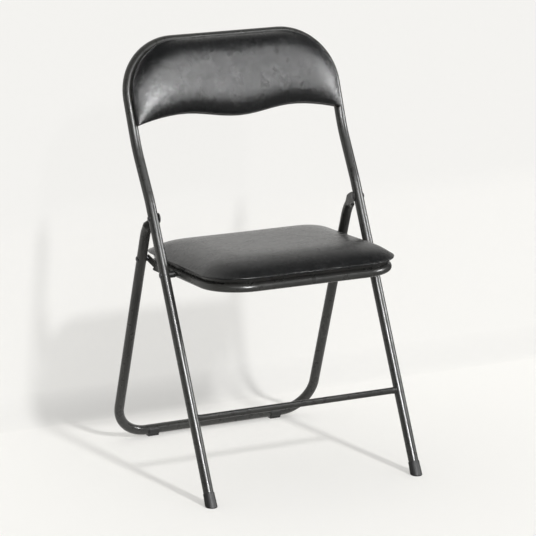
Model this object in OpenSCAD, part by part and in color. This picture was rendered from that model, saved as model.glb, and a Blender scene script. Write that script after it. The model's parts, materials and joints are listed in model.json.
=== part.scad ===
// Padded folding chair: a bent tube front frame, a folding rear frame, a tipping seat and two side links.
// Lengths are in millimetres. +X is to the right of a person facing the chair. The front faces -Y, +Z is up.
// The origin is on the floor, midway between the front and the back of the footprint.

/* [Front frame] */
// Overall height
frame_h = 800; // [760:5:860]
// Outer diameter of the frame tube
tube_d = 19; // [17:0.5:21]
// Wall of the frame tube
tube_wall = 1.2; // [0.8:0.1:2]
// Distance between the front feet, centre to centre
foot_spread = 425; // [420:1:440]
// How much wider the uprights stand at the lower bend than at the feet
bend_flare = 3.8; // [0:0.2:10]
// How much wider they stand at the upper bend than at the feet
low_flare = 6.4; // [0:0.2:14]
// How much wider they stand at the top corners than at the feet
back_flare = 9.8; // [0:0.2:18]
// Backward lean of the front legs, degrees
leg_lean = 26.7; // [26:0.1:28]
// Height of the pivots that join the rear legs to the uprights, as a share of the overall height
pivot_share = 0.60875; // [0.6:0.00125:0.62]
// From the top pivots up to the lower bend
bend_rise = 30.3; // [24:0.1:40]
// Lean between the two bends, degrees
mid_lean = 31.9; // [30:0.1:33]
// Stretch between the bends as a share of the height above the lower bend
mid_share = 0.3145; // [0.28:0.0005:0.36]
// Lean of the backrest, degrees
back_lean = 22.1; // [20:0.1:25]
// Centreline radius of the lower bend
lower_bend_r = 160; // [100:5:240]
// Centreline radius of the upper bend
upper_bend_r = 240; // [150:5:300]
// Centreline radius of the top corners as a share of the backrest's length
top_corner_share = 0.528; // [0.4:0.001:0.62]

/* [Front stretcher] */
// Diameter of the stretcher between the front legs
stretcher_d = 12.2; // [10:0.1:16]
// Wall of the stretcher
stretcher_wall = 1; // [0.7:0.1:1.5]
// Height of the stretcher
stretcher_h = 146.7; // [110:0.1:200]
// Length of the spread weld at each end
flare_len = 7; // [4:0.5:12]
// Growth of the radius at the weld
flare_grow = 1.6; // [0.5:0.1:2.5]

/* [Foot caps] */
// Wall of the rubber cap around the tube
cap_wall = 1; // [0.8:0.1:2.5]
// Length of the cap along the leg
cap_len = 26; // [20:1:36]
// Rubber under the tube end
cap_base = 3; // [2:0.5:5]
// Rounding of the cap's upper rim
cap_round = 0.6; // [0.3:0.1:0.8]

/* [Rear frame] */
// Centre of the floor bar behind the line of the front feet
rear_reach = 445.2; // [435:0.2:460]
// How far the rear legs pass behind the top pivots
leg_off = 27.7; // [25:0.1:30]
// How much closer together the rear legs stand than the front feet
rear_narrow = 1.4; // [0:0.2:4]
// Centreline radius of the two floor corners
rear_corner_r = 65; // [45:1:90]
// Centreline radius of the bend that ends at the top pivots
hook_r = 76; // [68:1:84]
// Turn of the round part of that bend, degrees
round_turn = 22; // [18:0.5:24]
// Turn at which the leg end is pressed flat, degrees
flat_turn = 34; // [30:0.5:38]

/* [Floor glides] */
// From the end of a floor corner to the middle of a glide
glide_inset = 13.8; // [12:0.2:60]
// Length of a glide along the floor bar
glide_len = 22; // [16:1:30]
// Plastic under the floor bar
glide_base = 3; // [2:0.5:5]
// Wall of a glide around the tube
glide_wall = 1.8; // [1.2:0.1:3]
// Width of the flat sole
glide_sole_w = 13; // [10:0.5:18]
// Reach of the glide's arms above the bar's centre
glide_grip = 4; // [2:0.5:6]

/* [Top pivots] */
// Half width of the flattened leg end
tab_half_w = 9.7; // [9:0.1:12]
// Reach of the flattened end in front of the pivot
tab_nose = 6; // [5.5:0.1:9]

/* [Seat frame] */
// From the top pivots down to the seat pivots
seat_drop = 97; // [90:0.5:104]
// Rise of the seat towards the front, degrees
seat_tilt = 2.3; // [1:0.1:4]
// Outer diameter of the seat ring tube
ring_d = 16; // [14:0.5:17]
// Wall of the seat ring tube
ring_wall = 1.2; // [0.8:0.1:1.6]
// How much narrower the seat ring is than the front feet, centre to centre
ring_room = 53; // [52:0.5:58]
// From the seat pivot to the front of the ring
ring_front = 178; // [160:1:190]
// From the seat pivot to the rear of the ring
ring_rear = 150; // [140:1:160]
// Centreline radius of the front corners
ring_front_r = 74; // [60:1:90]
// Centreline radius of the rear corners
ring_rear_r = 62; // [50:1:90]

/* [Seat pan and board] */
// Thickness of the pressed pan
pan_t = 1.2; // [0.8:0.1:2]
// Height of the pan's rim
rim_h = 7; // [5:0.5:10]
// Reach of the pan beyond the centre of the ring tube
pan_over = 4.5; // [3:0.5:6]
// Thickness of the board in the pan
board_t = 7; // [5:0.5:9]
// Gap between the board and the pan's rim, for the cover that is drawn round it
board_gap = 4; // [1:0.5:6]

/* [Seat cushion] */
// Thickness of the cushion at the middle
cushion_h = 29; // [20:1:36]
// Reach of the cushion beyond the pan
cushion_over = 4; // [1:0.5:4.5]

/* [Side links] */
// Height of the link rivets on the rear legs, above the seat pivots
link_rivet_rise = 6; // [2:0.5:10]
// How far the front link pivot lies below the middle of the ring
link_drop = 4; // [0:0.5:8]
// Thickness of a link
link_t = 2.5; // [2:0.1:2.8]
// Half width of a link
link_half_w = 6.5; // [5.5:0.5:8]
// Thickness of the bracket on the ring
bracket_t = 2.5; // [2:0.1:2.8]
// Reach of the bracket in front of the link pivot
bracket_front = 26.5; // [20:0.5:34]
// Reach of the bracket behind the link pivot
bracket_rear = 43.5; // [30:0.5:50]
// Reach of the bracket below the middle of the ring
bracket_low = 10; // [9:0.5:14]
// Reach of the bracket above the middle of the ring
bracket_high = 4; // [2:0.5:7]

/* [Rivets] */
// Shank diameter of every rivet
rivet_d = 6; // [5:0.5:7]
// Diameter of a rivet head
head_d = 11; // [9:0.5:13]
// Height of a rivet head on the outside of a tube
head_h = 2.2; // [1.5:0.1:3]
// Height of a flat rivet head on the inside
flat_head_h = 1.2; // [0.8:0.1:1.5]
// Outer diameter of the bush between upright and ring
bush_d = 13; // [11:0.5:15]

/* [Back pad] */
// Thickness of the board behind the pad
back_board_t = 5; // [3:0.5:8]
// Thickness of the pad at the middle
pad_h = 27; // [20:1:36]
// Inset of the pad's outline from the middle of the tube
pad_inset = 4.5; // [3:0.5:8]
// Inset of the board from the pad's outline
back_board_inset = 0.5; // [0:0.5:4]
// Lowest point of the pad at its middle, as a share of the backrest's length
mid_low_share = 0.192; // [0.17:0.001:0.23]
// Top of the two arches in the lower edge, as a share of that length
arch_share = 0.255; // [0.23:0.001:0.3]
// Lowest point of the pad's corners, as a share of that length
corner_low_share = 0.176; // [0.15:0.001:0.21]
// Distance from the middle to the top of an arch, as a share of the half width
arch_reach_share = 0.53; // [0.45:0.005:0.6]
// Thickness of the pressed panel behind the board
lining_t = 0.8; // [0.5:0.1:1.5]

/* [Screws] */
// Shank diameter of the back screws
back_screw_d = 4; // [3:0.5:5]
// Head diameter of the back screws
back_screw_head_d = 8; // [6:0.5:10]
// Head height of the back screws
back_screw_head_h = 2.4; // [1.5:0.1:3]
// Height of the two side screws as a share of the backrest's length
side_screw_share = 0.35; // [0.3:0.01:0.4]
// Distance between the two top screws as a share of the straight top bar
top_screw_share = 0.8; // [0.5:0.05:0.9]
// From the middle of the tube in to the back screws
back_screw_inset = 20; // [17:0.5:26]
// Shank diameter of the seat screws
seat_screw_d = 4; // [3:0.5:5]
// Head diameter of the seat screws
seat_screw_head_d = 9; // [7:0.5:11]
// Head height of the seat screws
seat_screw_head_h = 2; // [1.5:0.1:3]
// Distance between the seat screws as a share of the ring's width
seat_screw_share = 0.67; // [0.5:0.01:0.75]
// Distance between the seat screws from front to rear
seat_screw_along = 190; // [150:2:220]

/* [Hidden] */

$fn = 64;
// Radial running clearance of a rivet in a part that turns on it
run_gap = 0.06;
// Clearance between the panel of the backrest and the tube that it lies against
panel_gap = 0.1;
// Side clearance between parts that move past each other
side_gap = 0.3;
// Clearance of a soft piece from what carries it
soft_gap = 0.3;
// How much less radius a tube has in its bends
bend_slim = 0.02;
// How far a straight stretch runs into a bend
bend_lap = 0.5;
// Overrun of every cut
cut = 1;
// Thickness of the end slices of a blended shape
slice = 0.8;
// Inset of a blended shape from what it joins
blend_slim = 0.25;
// Facets of a blended shape
blend_fn = 32;

steel = "#3c3c3b";
steel_dark = "#2e2e2d";
black_plastic = "#161616";
vinyl = "#1d1d1f";
board_tone = "#8a6f4e";
bright_steel = "#5a5a5a";

tube_r = tube_d / 2;
stretcher_r = stretcher_d / 2;
ring_r = ring_d / 2;
rivet_r = rivet_d / 2;
head_r = head_d / 2;
// A leg end is two walls of the tube pressed together
tab_t = 2 * tube_wall;

// Widths, all taken from the spread of the front feet
bend_spread = foot_spread + bend_flare;
back_low_spread = foot_spread + low_flare;
back_spread = foot_spread + back_flare;
rear_spread = foot_spread - rear_narrow;
ring_spread = foot_spread - ring_room;
glide_spread = rear_spread - 2 * (rear_corner_r + glide_inset);
seat_screw_across = ring_spread * seat_screw_share;

// Heights, built up from the top pivots
pivot_h = pivot_share * frame_h;
seat_pivot_h = pivot_h - seat_drop;
link_rivet_h = seat_pivot_h + link_rivet_rise;
lower_bend_h = pivot_h + bend_rise;
upper_bend_h = lower_bend_h + mid_share * (frame_h - lower_bend_h);

// Front frame, seen from the side: places of the bends and of the top bar
lower_bend_y = lower_bend_h * tan(leg_lean);
upper_bend_y = lower_bend_y + (upper_bend_h - lower_bend_h) * tan(mid_lean);
top_h = frame_h - tube_r;
top_y = upper_bend_y + (top_h - upper_bend_h) * tan(back_lean);
back_len = (top_h - upper_bend_h) / cos(back_lean);
top_corner_r = top_corner_share * back_len;
pad_mid_low = mid_low_share * back_len;
pad_arch = arch_share * back_len;
pad_corner_low = corner_low_share * back_len;
arch_reach = arch_reach_share * back_spread / 2;
side_screw_v = side_screw_share * back_len;
top_screw_spread = top_screw_share * (back_spread - 2 * top_corner_r);

// Rear frame, seen from the side: its legs lean so that they pass behind the top pivots
bar_h = tube_r + glide_base;
rear_x = rear_spread / 2;
pivot_y = pivot_h * tan(leg_lean);
rear_lean = atan2(rear_reach - pivot_y, pivot_h - bar_h)
    - asin(leg_off / norm([rear_reach - pivot_y, pivot_h - bar_h]));

// The footprint runs from the front of the caps to the back of the glides
cap_r = tube_r + cap_wall;
centre_y = (rear_reach + tube_r + glide_wall - cap_r / cos(leg_lean)) / 2;

// Half the distance between the uprights at a height on the front legs
function upright_x(h) = (foot_spread + (bend_spread - foot_spread) * h / lower_bend_h) / 2;
// Place of the upright's middle at that height, seen from the side
function upright_y(h) = h * tan(leg_lean);
// Place of the straight part of a rear leg at a height, seen from the side
function rear_leg_y(h) = rear_reach - (h - bar_h) * tan(rear_lean);

seat_y = upright_y(seat_pivot_h);
link_rivet_y = rear_leg_y(link_rivet_h);

// The top of a rear leg bends forward about a point and ends at the pivot
hook_turn = acos(1 - leg_off / hook_r);
hook_lean = rear_lean + hook_turn;
hook_mid_y = pivot_y - hook_r * cos(hook_lean);
hook_mid_h = pivot_h - hook_r * sin(hook_lean);
// Point on that bend at a turn from its lower end, off the centreline by a distance
function hook_point(x, turn, off) = [
    x,
    hook_mid_y + (hook_r + off) * cos(rear_lean + turn),
    hook_mid_h + (hook_r + off) * sin(rear_lean + turn)
];
// Where the straight leg and the end of the round part would cross
hook_corner = hook_r / cos(round_turn / 2) - hook_r;
hook_start_h = hook_mid_h + hook_r * sin(rear_lean);
tab_out = upright_x(pivot_h) - tube_r - side_gap;
tab_in = tab_out - tab_t;

// Stack of the seat, measured from the middle of the ring
pan_low = ring_r;
pan_floor = pan_low + pan_t;
rim_top = pan_floor + rim_h;
cushion_low = max(rim_top, pan_floor + board_t) + soft_gap;
pan_half = ring_spread / 2 + pan_over;
cushion_half = pan_half + cushion_over;

// Stack of the side links, measured from the middle of the chair
ring_out = ring_spread / 2 + ring_r;
bracket_out = ring_out + bracket_t;
link_in = bracket_out + side_gap;
link_out = link_in + link_t;
rear_leg_in = rear_x - tube_r;

// Fold angles: the rear legs and the seat end up parallel to the uprights
rear_fold = leg_lean + rear_lean;
seat_fold = 90 - seat_tilt + leg_lean;

// Turns a side view point [y, z] about a centre, positive from y towards z
function turned(p, c, a) = [
    c[0] + (p[0] - c[0]) * cos(a) - (p[1] - c[1]) * sin(a),
    c[1] + (p[0] - c[0]) * sin(a) + (p[1] - c[1]) * cos(a)
];
seat_c = [seat_y, seat_pivot_h];
pivot_c = [pivot_y, pivot_h];
link_rivet_c = [link_rivet_y, link_rivet_h];
// The rear link rivet as the seat sees it, open and folded
rivet_open = turned(link_rivet_c, seat_c, seat_tilt) - seat_c;
rivet_folded = turned(turned(link_rivet_c, pivot_c, -rear_fold), seat_c, seat_fold + seat_tilt) - seat_c;
// The front link pivot lies as far from the one as from the other
link_along = (rivet_open * rivet_open - rivet_folded * rivet_folded
    + 2 * link_drop * (rivet_open[1] - rivet_folded[1]))
    / (2 * (rivet_open[0] - rivet_folded[0]));
link_c = turned(seat_c + [link_along, -link_drop], seat_c, -seat_tilt);
link_len = norm(link_rivet_c - link_c);
link_rise = atan2(link_rivet_h - link_c[1], link_rivet_y - link_c[0]);
bracket_start = link_along - bracket_front;
bracket_end = link_along + bracket_rear;

function unit(v) = v / norm(v);
// Angles that turn the axes onto three given square directions
function turn_to(ax, ay, az) = [atan2(ay[2], az[2]), -asin(ax[2]), atan2(ax[1], ax[0])];
function way(p, i) = unit(p[i + 1] - p[i]);
function turn_at(p, i) = acos(way(p, i - 1) * way(p, i));
function tangent_at(p, r, i) = (i == 0 || i == len(p) - 1) ? 0 : r[i] * tan(turn_at(p, i) / 2);
function lapped(tangent) = tangent > 0 ? tangent - bend_lap : 0;
function loop_at(p, i) = p[(i + len(p)) % len(p)];

// Straight rod between two points
module rod(a, b, r) {
    u = unit(b - a);
    translate(a) rotate([0, acos(u[2]), atan2(u[1], u[0])]) cylinder(h = norm(b - a), r = r);
}

// Bent rod between two straight ones that meet at a point
module elbow(corner, way_in, way_out, bend_r, r) {
    turn = acos(way_in * way_out);
    centre = corner + unit(way_out - way_in) * bend_r / cos(turn / 2);
    ax = unit(corner - way_in * bend_r * tan(turn / 2) - centre);
    translate(centre) rotate(turn_to(ax, way_in, cross(ax, way_in)))
        rotate_extrude(angle = turn) translate([bend_r, 0]) circle(r);
}

// Bent tube shape along points, with a bend radius for each point. A tube is a touch slimmer in its bends
module bent(p, bends, r) {
    for (i = [0 : len(p) - 2])
        rod(p[i] + way(p, i) * lapped(tangent_at(p, bends, i)),
            p[i + 1] - way(p, i) * lapped(tangent_at(p, bends, i + 1)), r);
    for (i = [1 : len(p) - 2])
        elbow(p[i], way(p, i - 1), way(p, i), bends[i], r - bend_slim);
}

// Closed bent tube shape with square corners
module bent_loop(p, bends, r) {
    n = len(p);
    for (i = [0 : n - 1]) {
        before = unit(p[i] - loop_at(p, i - 1));
        after = unit(loop_at(p, i + 1) - p[i]);
        rod(p[i] + after * lapped(bends[i]), loop_at(p, i + 1) - after * lapped(loop_at(bends, i + 1)), r);
        elbow(p[i], before, after, bends[i], r - bend_slim);
    }
}

// Moves a piece from the line of the front feet to the origin
module placed() {
    translate([0, -centre_y, 0]) children();
}

// Local axes of the seat: origin at the seat pivots, +Y to the rear along the seat
module on_seat() {
    placed() translate([0, seat_y, seat_pivot_h]) rotate([-seat_tilt, 0, 0]) children();
}

// Local axes of the backrest: origin at the upper bend, +Z up along the tube, +Y to the rear
module on_back() {
    placed() translate([0, upper_bend_y, upper_bend_h]) rotate([-back_lean, 0, 0]) children();
}

// Rod along X from one distance to another, on the right side or the left
module cross_rod(side, from_x, to_x, r) {
    translate([side * from_x, 0, 0]) rotate([0, side * 90, 0]) cylinder(h = to_x - from_x, r = r);
}

// Low round head along X that starts at a distance
module cross_head(side, from_x, r, h) {
    translate([side * from_x, 0, 0]) rotate([0, side * 90, 0]) rotate_extrude() intersection() {
        dome = (r * r + h * h) / (2 * h);
        translate([0, h - dome]) circle(dome);
        square([r, h]);
    }
}

// Round head that points the other way
module cross_head_in(side, from_x, r, h) {
    translate([side * from_x, 0, 0]) rotate([0, -side * 90, 0]) rotate_extrude() intersection() {
        dome = (r * r + h * h) / (2 * h);
        translate([0, h - dome]) circle(dome);
        square([r, h]);
    }
}

// Path of the front frame, from the left foot over the top to the right foot
foot_start = (cap_base + tube_r * sin(leg_lean)) / cos(leg_lean);
left_leg_way = unit([-(bend_spread - foot_spread) / 2, lower_bend_y, lower_bend_h]);
left_foot = [-foot_spread / 2, 0, 0];
front_half_path = [
    left_foot + left_leg_way * foot_start,
    [-bend_spread / 2, lower_bend_y, lower_bend_h],
    [-back_low_spread / 2, upper_bend_y, upper_bend_h],
    [-back_spread / 2, top_y, top_h]
];
function mirrored(p) = [for (i = [len(p) - 1 : -1 : 0]) [-p[i][0], p[i][1], p[i][2]]];
front_path = concat(front_half_path, mirrored(front_half_path));
front_half_bends = [0, lower_bend_r, upper_bend_r, top_corner_r];
front_bends = concat(front_half_bends, [for (i = [3 : -1 : 0]) front_half_bends[i]]);

// The same path with its two ends run out, for the hollow
function run_out(p, extra) = [for (i = [0 : len(p) - 1])
    i == 0 ? p[0] - way(p, 0) * extra : i == len(p) - 1 ? p[i] + way(p, i - 1) * extra : p[i]];

module front_frame() {
    color(steel) placed() difference() {
        bent(front_path, front_bends, tube_r);
        bent(run_out(front_path, cut), front_bends, tube_r - tube_wall);
        for (side = [-1, 1]) {
            translate([0, pivot_y, pivot_h])
                cross_rod(side, rear_leg_in, foot_spread, rivet_r);
            translate([0, seat_y, seat_pivot_h])
                cross_rod(side, rear_leg_in, foot_spread, rivet_r);
        }
    }
}

module front_stretcher() {
    x = upright_x(stretcher_h);
    y = upright_y(stretcher_h);
    color(steel) placed() difference() {
        union() {
            translate([0, y, stretcher_h]) rotate([0, 90, 0])
                cylinder(h = 2 * x, r = stretcher_r, center = true);
            for (side = [-1, 1])
                translate([side * (x - tube_r - flare_len), y, stretcher_h]) rotate([0, side * 90, 0])
                    cylinder(h = flare_len + tube_r, r1 = stretcher_r, r2 = stretcher_r + flare_grow);
        }
        translate([0, y, stretcher_h]) rotate([0, 90, 0])
            cylinder(h = 2 * x + cut, r = stretcher_r - stretcher_wall, center = true);
        for (side = [-1, 1])
            leg_cope(side);
    }
}

module foot_cap(side) {
    color(black_plastic) placed() intersection() {
        difference() {
            union() {
                rod(cap_point(side, -cap_r), cap_point(side, cap_len - cap_round), cap_r);
                rod(cap_point(side, cap_len - cap_round - cut), cap_point(side, cap_len),
                    cap_r - cap_round);
            }
            rod(cap_point(side, foot_start), cap_point(side, cap_len + cut), tube_r);
        }
        translate([side * foot_spread / 2, 0, 0]) cylinder(h = cap_len + cap_r, r = cap_len);
    }
}
// Point on a front leg's axis, measured from the floor
function cap_point(side, along) = [side * foot_spread / 2, 0, 0]
    + [-side * left_leg_way[0], left_leg_way[1], left_leg_way[2]] * along;

module left_foot_cap() { foot_cap(-1); }
module right_foot_cap() { foot_cap(1); }

// Half width of the backrest tube at a distance up the back
function back_half(v) = (back_low_spread + (back_spread - back_low_spread) * v / back_len) / 2;
// Lower edge of the pad: a middle bulge between two arches that fall to the corners
function pad_edge(x, half) = abs(x) <= arch_reach
    ? (pad_arch + pad_mid_low) / 2 - (pad_arch - pad_mid_low) / 2 * cos(180 * x / arch_reach)
    : pad_arch - (pad_arch - pad_corner_low) * pow((abs(x) - arch_reach) / (half - arch_reach), edge_power);

// How late the lower edge falls from an arch to its corner
edge_power = 1.8;
edge_steps = 24;
corner_steps = 10;
top_steps = 6;
side_steps = 3;
// Heights of the points on the straight sides
function side_v(i) = pad_corner_low + (back_len - top_corner_r - pad_corner_low) * i / (side_steps + 1);
// Outline of the backrest, drawn in from the middle of the tube, counter-clockwise from the front
function back_outline(inset) = let (
        low_half = back_half(pad_corner_low) - inset,
        r = top_corner_r - inset,
        cx = back_half(back_len) - top_corner_r,
        cv = back_len - top_corner_r
    ) concat(
        [for (i = [0 : edge_steps]) let (x = low_half * (2 * i / edge_steps - 1))
            [x, pad_edge(x, low_half) + inset]],
        [for (i = [1 : side_steps]) let (v = side_v(i)) [back_half(v) - inset, v]],
        [for (i = [0 : corner_steps]) let (a = 90 * i / corner_steps)
            [cx + r * cos(a), cv + r * sin(a)]],
        [for (i = [1 : top_steps - 1]) [cx * (1 - 2 * i / top_steps), cv + r]],
        [for (i = [corner_steps : -1 : 0]) let (a = 90 * i / corner_steps)
            [-cx - r * cos(a), cv + r * sin(a)]],
        [for (i = [side_steps : -1 : 1]) let (v = side_v(i)) [-back_half(v) + inset, v]]
    );

// Closed cushion over an outline: rings of [plan share, height share] from the seam below to the crown.
// The rings close in on a level line through the middle
module crowned(outline, middle, spine, height, ring_shares) {
    n = len(outline);
    m = len(ring_shares);
    points = concat(
        [for (s = ring_shares) for (q = outline) let (x = max(-spine, min(spine, q[0])))
            [x + (q[0] - x) * s[0], middle[1] + (q[1] - middle[1]) * s[0], height * s[1]]],
        [[middle[0], middle[1], 0], [middle[0], middle[1], height]]
    );
    faces = concat(
        [for (j = [0 : m - 2]) for (i = [0 : n - 1]) let (k = (i + 1) % n)
            [j * n + i, (j + 1) * n + i, (j + 1) * n + k]],
        [for (j = [0 : m - 2]) for (i = [0 : n - 1]) let (k = (i + 1) % n)
            [j * n + i, (j + 1) * n + k, j * n + k]],
        [for (i = [0 : n - 1]) [m * n, i, (i + 1) % n]],
        [for (i = [0 : n - 1]) [m * n + 1, (m - 1) * n + (i + 1) % n, (m - 1) * n + i]]
    );
    polyhedron(points = points, faces = faces);
}

// Drawn in under the seam, fullest a third of the way up, then crowned
pad_ring_shares = [
    [0.965, 0], [0.99, 0.1], [1, 0.26], [0.99, 0.44], [0.96, 0.62],
    [0.9, 0.78], [0.78, 0.9], [0.6, 0.96], [0.34, 0.99]
];
cushion_ring_shares = [
    [0.965, 0], [0.99, 0.05], [1, 0.13], [0.985, 0.22], [0.95, 0.36],
    [0.89, 0.53], [0.79, 0.74], [0.64, 0.91], [0.38, 0.99]
];

module back_board() {
    color(board_tone) on_back() difference() {
        translate([0, -tube_r, 0]) rotate([90, 0, 0])
            linear_extrude(back_board_t) polygon(back_outline(pad_inset + back_board_inset));
        back_screw_bores();
    }
}

module back_pad() {
    outline = back_outline(pad_inset);
    middle = [0, (pad_corner_low + back_len) / 2];
    color(vinyl) on_back() translate([0, -tube_r - back_board_t - soft_gap, 0]) rotate([90, 0, 0])
        crowned(outline, middle, back_spread / 2 - top_corner_r, pad_h - back_board_t, pad_ring_shares);
}

// The panel's edge lies in the corner between the board and the tube
lining_inset = sqrt(tube_r * tube_r - pow(tube_r - lining_t, 2)) + panel_gap;
module back_lining() {
    color(steel_dark) on_back() difference() {
        translate([0, -tube_r + lining_t, 0]) rotate([90, 0, 0])
            linear_extrude(lining_t) polygon(back_outline(lining_inset));
        back_screw_bores();
    }
}

// The four screws through the panel into the board: one at each side and two at the top
module back_screw_places() {
    for (side = [-1, 1]) {
        translate([side * (back_half(side_screw_v) - back_screw_inset), 0, side_screw_v]) children();
        translate([side * top_screw_spread / 2, 0, back_len - back_screw_inset]) children();
    }
}

module back_screw_bores() {
    back_screw_places() translate([0, -tube_r + lining_t + cut, 0]) rotate([90, 0, 0])
        cylinder(h = lining_t + back_board_t + 2 * cut, r = back_screw_d / 2);
}

module back_screws() {
    color(bright_steel) on_back() back_screw_places() {
        translate([0, -tube_r + lining_t, 0]) rotate([90, 0, 0])
            cylinder(h = lining_t + back_board_t, r = back_screw_d / 2);
        translate([0, -tube_r + lining_t, 0]) rotate([-90, 0, 0]) rotate_extrude() intersection() {
            dome = (pow(back_screw_head_d / 2, 2) + pow(back_screw_head_h, 2)) / (2 * back_screw_head_h);
            translate([0, back_screw_head_h - dome]) circle(dome);
            square([back_screw_head_d / 2, back_screw_head_h]);
        }
    }
}

// Straight tube of a front leg, cut out of what is seated on it
module leg_cope(side) {
    rod(cap_point(side, foot_start), cap_point(side, norm([lower_bend_y, lower_bend_h])), tube_r);
}

// Seat of a rivet head on the outside of a front leg
module head_seat(side, h) {
    difference() {
        translate([0, upright_y(h), h]) cross_rod(side, upright_x(h), upright_x(h) + tube_r, head_r);
        leg_cope(side);
    }
}

module top_rivets() {
    outer = upright_x(pivot_h) + tube_r;
    color(bright_steel) placed() for (side = [-1, 1]) {
        translate([0, pivot_y, pivot_h]) {
            cross_rod(side, tab_in - side_gap, outer, rivet_r);
            cross_head(side, outer, head_r, head_h);
            cross_head_in(side, tab_in - side_gap, head_r, flat_head_h);
        }
        head_seat(side, pivot_h);
    }
}

module seat_rivets() {
    outer = upright_x(seat_pivot_h) + tube_r;
    inner = ring_spread / 2 - ring_r - side_gap;
    color(bright_steel) placed() for (side = [-1, 1]) {
        translate([0, seat_y, seat_pivot_h]) {
            cross_rod(side, inner, outer, rivet_r);
            cross_head(side, outer, head_r, flat_head_h);
            cross_head_in(side, inner, head_r, flat_head_h);
        }
        head_seat(side, seat_pivot_h);
    }
}

module seat_bushes() {
    color(black_plastic) placed() for (side = [-1, 1]) difference() {
        translate([0, seat_y, seat_pivot_h])
            cross_rod(side, ring_out + side_gap, upright_x(seat_pivot_h), bush_d / 2);
        translate([0, seat_y, seat_pivot_h])
            cross_rod(side, ring_out - cut, upright_x(seat_pivot_h) + cut, rivet_r);
        leg_cope(side);
    }
}

// Path of the rear frame, from the end of the round tube on the left to the one on the right
round_end = hook_point(-rear_x, round_turn, 0);
round_way = [0, -sin(rear_lean + round_turn), cos(rear_lean + round_turn)];
rear_half_path = [
    round_end + round_way * cut,
    hook_point(-rear_x, round_turn / 2, hook_corner),
    [-rear_x, rear_reach, bar_h]
];
rear_path = concat(rear_half_path, mirrored(rear_half_path));
rear_bends = [0, hook_r, rear_corner_r, rear_corner_r, hook_r, 0];

module rear_frame() {
    color(steel) placed() difference() {
        union() {
            difference() {
                bent(rear_path, rear_bends, tube_r);
                bent(run_out(rear_path, cut), rear_bends, tube_r - tube_wall);
            }
            for (side = [-1, 1]) {
                leg_end(side);
                leg_tab(side);
            }
        }
        for (side = [-1, 1]) {
            translate([0, pivot_y, pivot_h])
                cross_rod(side, tab_in - cut, tab_out + cut, rivet_r + run_gap);
            translate([0, link_rivet_y, link_rivet_h])
                cross_rod(side, rear_leg_in - cut, foot_spread, rivet_r);
        }
    }
}

// The stretch where the round tube is pressed flat
module leg_end(side) {
    hull() {
        translate([side * rear_x, round_end[1], round_end[2]] + round_way * cut)
            rotate([rear_lean + round_turn, 0, 0])
            cylinder(h = slice, r = tube_r - blend_slim, center = true, $fn = blend_fn);
        translate(hook_point(side * (tab_in + tab_t / 2), flat_turn, 0))
            rotate([rear_lean + flat_turn, 0, 0])
            cube([tab_t - blend_slim, 2 * (tab_half_w - blend_slim), slice], center = true);
    }
}

// The flat end that curves up to the top rivet and turns on it
tab_steps = 10;
nose_turn = hook_turn + asin((tab_nose - tab_half_w) / hook_r);
module leg_tab(side) {
    translate([side * (tab_in + tab_t / 2), 0, 0]) rotate([90, 0, 90])
        linear_extrude(tab_t, center = true) union() {
            polygon(concat(
                [for (i = [0 : tab_steps]) tab_point(i / tab_steps, tab_half_w)],
                [for (i = [tab_steps : -1 : 0]) tab_point(i / tab_steps, -tab_half_w)]
            ));
            translate([hook_point(0, nose_turn, 0)[1], hook_point(0, nose_turn, 0)[2]])
                circle(tab_half_w);
        }
}
function tab_point(share, off) = let (p = hook_point(0, flat_turn + (nose_turn - flat_turn) * share, off))
    [p[1], p[2]];

module floor_glide(side) {
    color(black_plastic) placed() translate([side * glide_spread / 2, rear_reach, bar_h]) difference() {
        rotate([0, 90, 0]) linear_extrude(glide_len, center = true) difference() {
            union() {
                circle(tube_r + glide_wall);
                translate([bar_h - glide_base - tube_r / 2, -glide_sole_w / 2])
                    square([glide_base + tube_r / 2, glide_sole_w]);
            }
            circle(tube_r);
            translate([-2 * bar_h - glide_grip, -bar_h - cut]) square([2 * bar_h, 2 * (bar_h + cut)]);
        }
    }
}
module left_floor_glide() { floor_glide(-1); }
module right_floor_glide() { floor_glide(1); }

// Rivets through the rear legs, with a spacer towards the link
module rear_link_rivets() {
    outer = rear_x + tube_r;
    color(bright_steel) placed() for (side = [-1, 1]) {
        translate([0, link_rivet_y, link_rivet_h]) {
            cross_rod(side, link_out + side_gap, outer, rivet_r);
            cross_head(side, outer, head_r, head_h);
        }
        difference() {
            translate([0, link_rivet_y, link_rivet_h]) cross_rod(side, link_out + side_gap, outer, head_r);
            rod([side * rear_x, rear_leg_y(hook_start_h), hook_start_h],
                [side * rear_x, rear_reach, bar_h], tube_r);
        }
    }
}

ring_half = ring_spread / 2;
ring_corners = [
    [-ring_half, -ring_front, 0], [ring_half, -ring_front, 0],
    [ring_half, ring_rear, 0], [-ring_half, ring_rear, 0]
];
ring_bends = [ring_front_r, ring_front_r, ring_rear_r, ring_rear_r];

module seat_ring() {
    color(steel) on_seat() difference() {
        bent_loop(ring_corners, ring_bends, ring_r);
        bent_loop(ring_corners, ring_bends, ring_r - ring_wall);
        for (side = [-1, 1])
            cross_rod(side, ring_half - ring_d, ring_half + ring_d, rivet_r + run_gap);
    }
}

// Plan of the seat, grown beyond the middle of the ring tube
module seat_plan(grow) {
    front_r = ring_front_r + grow;
    rear_r = ring_rear_r + grow;
    half = ring_half + grow;
    union() {
        for (side = [-1, 1]) {
            translate([side * (half - front_r), -ring_front - grow + front_r]) circle(front_r);
            translate([side * (half - rear_r), ring_rear + grow - rear_r]) circle(rear_r);
        }
        translate([-half + front_r, -ring_front - grow])
            square([2 * (half - front_r), front_r]);
        translate([-half + rear_r, ring_rear + grow - rear_r])
            square([2 * (half - rear_r), rear_r]);
        translate([-half, -ring_front - grow + front_r])
            square([2 * half, ring_front + ring_rear + 2 * grow - front_r - rear_r]);
    }
}

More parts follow.
